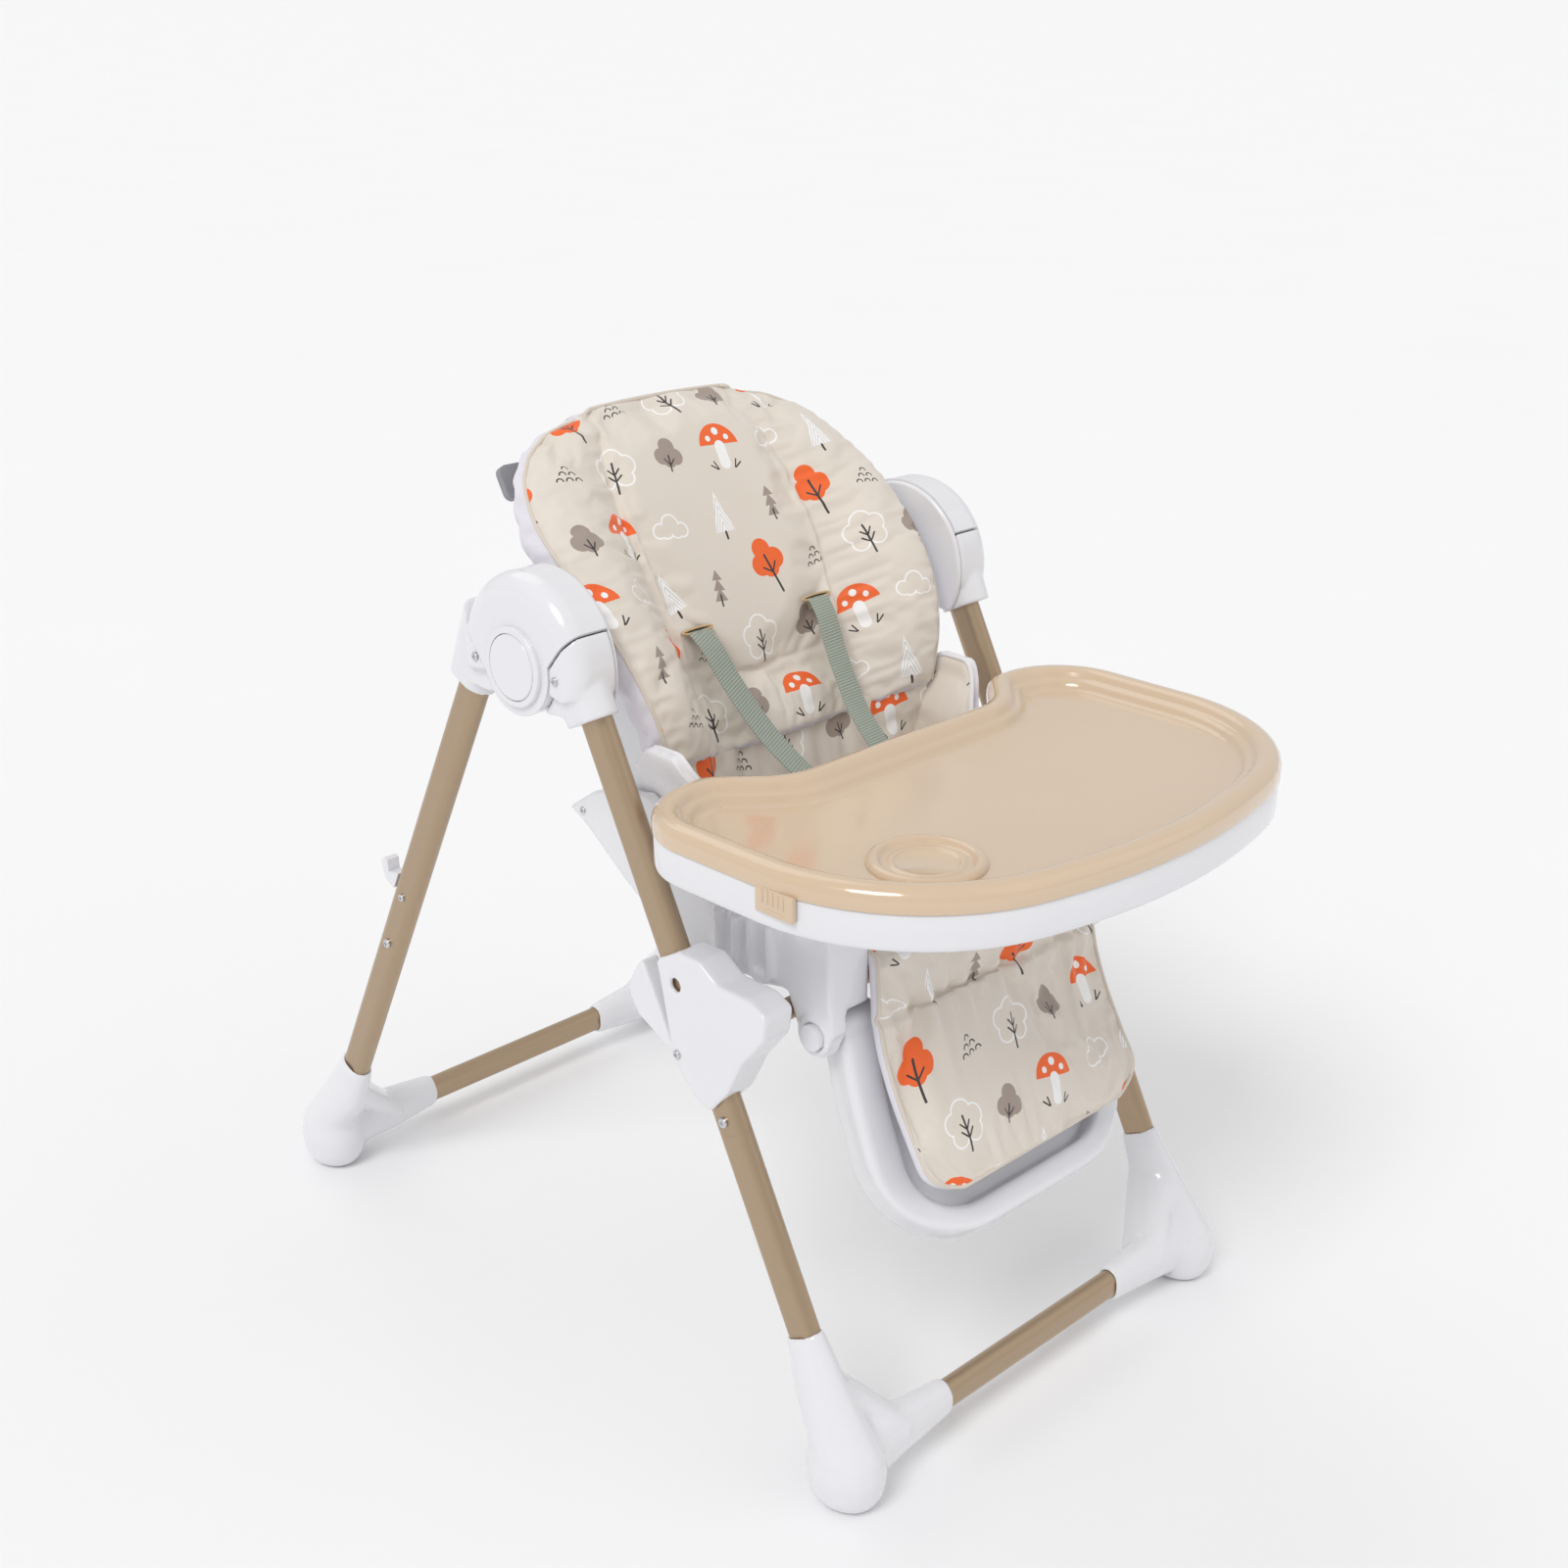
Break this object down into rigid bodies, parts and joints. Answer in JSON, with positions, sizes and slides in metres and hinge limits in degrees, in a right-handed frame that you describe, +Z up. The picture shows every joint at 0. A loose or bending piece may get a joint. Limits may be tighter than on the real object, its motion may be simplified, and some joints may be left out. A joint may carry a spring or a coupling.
{
  "type": "baby high chair",
  "caption": "Folding baby high chair: A-frame legs with hubs, height-adjustable padded seat, reclining backrest, footrest, sliding tray with lift-out insert and harness.",
  "frame": {"origin": "centre of the bounding box's bottom face, on the floor", "axes": "+Z up, front of the chair towards -Y, +X towards the child's left"},
  "size_m": [0.603, 0.9988, 0.8926],
  "materials": {
    "tube": "satin champagne metallic paint",
    "white": "glossy moulded white",
    "insert": "glossy warm beige",
    "fabric": "printed beige cotton with a wipe-clean face",
    "webbing": "ribbed sage webbing",
    "steel": "bright plated steel",
    "grey": "matte grey"
  },
  "bodies": {
    "front_frame": {"front_leg_upper_left": "tube", "front_leg_upper_right": "tube", "front_leg_lower_left": "tube", "front_leg_lower_right": "tube", "front_foot_left": "white", "front_foot_right": "white", "hub_cover_left": "white", "hub_cover_right": "white", "front_sleeve_left": "white", "front_sleeve_right": "white", "hub_inner_cover_left": "white", "hub_inner_cover_right": "white", "hub_axle_left": "steel", "hub_axle_right": "steel", "front_floor_bar": "tube", "hub_springs": "steel", "front_screws": "steel"},
    "rear_frame": {"rear_leg_upper_left": "tube", "rear_leg_upper_right": "tube", "rear_leg_lower_left": "tube", "rear_leg_lower_right": "tube", "rear_foot_left": "white", "rear_foot_right": "white", "rear_sleeve_left": "white", "rear_sleeve_right": "white", "rear_floor_bar": "tube", "tray_hooks": "white", "rear_screws": "steel"},
    "seat": {"height_bracket_left": "white", "height_bracket_right": "white", "front_cross_tube": "tube", "rear_cross_tube": "tube", "bracket_screws": "steel", "seat_base": "white", "armrest_left": "white", "armrest_right": "white", "seat_screws": "steel", "seat_pad": "fabric", "waist_straps": "webbing", "crotch_strap": "webbing", "harness_buckle": "grey"},
    "backrest": {"backrest_pad": "fabric", "backrest_shell": "white", "recline_housing": "white", "pad_hooks": "grey", "shoulder_straps": "webbing"},
    "recline_handle": {"recline_handle": "grey"},
    "footrest": {"footrest_frame": "white", "calf_pad": "fabric"},
    "tray": {"tray_base": "white"},
    "tray_latch": {"tray_latch_lever": "white"},
    "tray_insert": {"tray_insert": "insert"},
    "buckle_button": {"buckle_button": "grey"},
    "hub_button_left": {"hub_button_left": "white"},
    "height_lever_left": {"height_lever_left": "white"},
    "footrest_button_left": {"footrest_button_left": "white"},
    "hub_button_right": {"hub_button_right": "white"},
    "height_lever_right": {"height_lever_right": "white"},
    "footrest_button_right": {"footrest_button_right": "white"}
  },
  "joints": [
    {"name": "frame_fold", "type": "hinge", "parent": "front_frame", "child": "rear_frame", "pos_m": [0, 0.03475, 0.705], "axis": [-1, 0, 0], "range_deg": [0, 40]},
    {"name": "hub_button_left_press", "type": "slide", "parent": "front_frame", "child": "hub_button_left", "axis": [-1, 0, 0], "range_m": [0, 0.004], "stiffness_N_per_m": 900},
    {"name": "hub_button_right_press", "type": "slide", "parent": "front_frame", "child": "hub_button_right", "axis": [1, 0, 0], "range_m": [0, 0.004], "stiffness_N_per_m": 900},
    {"name": "seat_height", "type": "slide", "parent": "front_frame", "child": "seat", "axis": [0, 0.4529, 0.8916], "range_m": [0, 0.13]},
    {"name": "height_lever_left_squeeze", "type": "hinge", "parent": "seat", "child": "height_lever_left", "pos_m": [0, -0.15625, 0.38], "axis": [1, 0, 0], "range_deg": [0, 4], "stiffness_Nm_per_rad": 3},
    {"name": "height_lever_right_squeeze", "type": "hinge", "parent": "seat", "child": "height_lever_right", "pos_m": [0, -0.15625, 0.38], "axis": [1, 0, 0], "range_deg": [0, 4], "stiffness_Nm_per_rad": 3},
    {"name": "backrest_recline", "type": "hinge", "parent": "seat", "child": "backrest", "pos_m": [0, -0.01925, 0.556], "axis": [-1, 0, 0], "range_deg": [0, 28]},
    {"name": "recline_handle_lift", "type": "slide", "parent": "backrest", "child": "recline_handle", "axis": [0, 0.4924, 0.8704], "range_m": [0, 0.008], "stiffness_N_per_m": 600},
    {"name": "footrest_lift", "type": "hinge", "parent": "seat", "child": "footrest", "pos_m": [0, -0.26325, 0.414], "axis": [-1, 0, 0], "range_deg": [0, 62]},
    {"name": "footrest_button_left_press", "type": "slide", "parent": "seat", "child": "footrest_button_left", "axis": [-1, 0, 0], "range_m": [0, 0.003], "stiffness_N_per_m": 900},
    {"name": "footrest_button_right_press", "type": "slide", "parent": "seat", "child": "footrest_button_right", "axis": [1, 0, 0], "range_m": [0, 0.003], "stiffness_N_per_m": 900},
    {"name": "tray_slide", "type": "slide", "parent": "seat", "child": "tray", "axis": [0, -1, 0], "range_m": [0, 0.08]},
    {"name": "tray_latch_pull", "type": "slide", "parent": "tray", "child": "tray_latch", "axis": [0, 1, 0], "range_m": [0, 0.008], "stiffness_N_per_m": 600},
    {"name": "tray_insert_lift", "type": "slide", "parent": "tray", "child": "tray_insert", "axis": [0, 0, 1], "range_m": [0, 0.06]},
    {"name": "buckle_release", "type": "slide", "parent": "seat", "child": "buckle_button", "axis": [0, 1, 0], "range_m": [0, 0.003], "stiffness_N_per_m": 600}
  ]
}
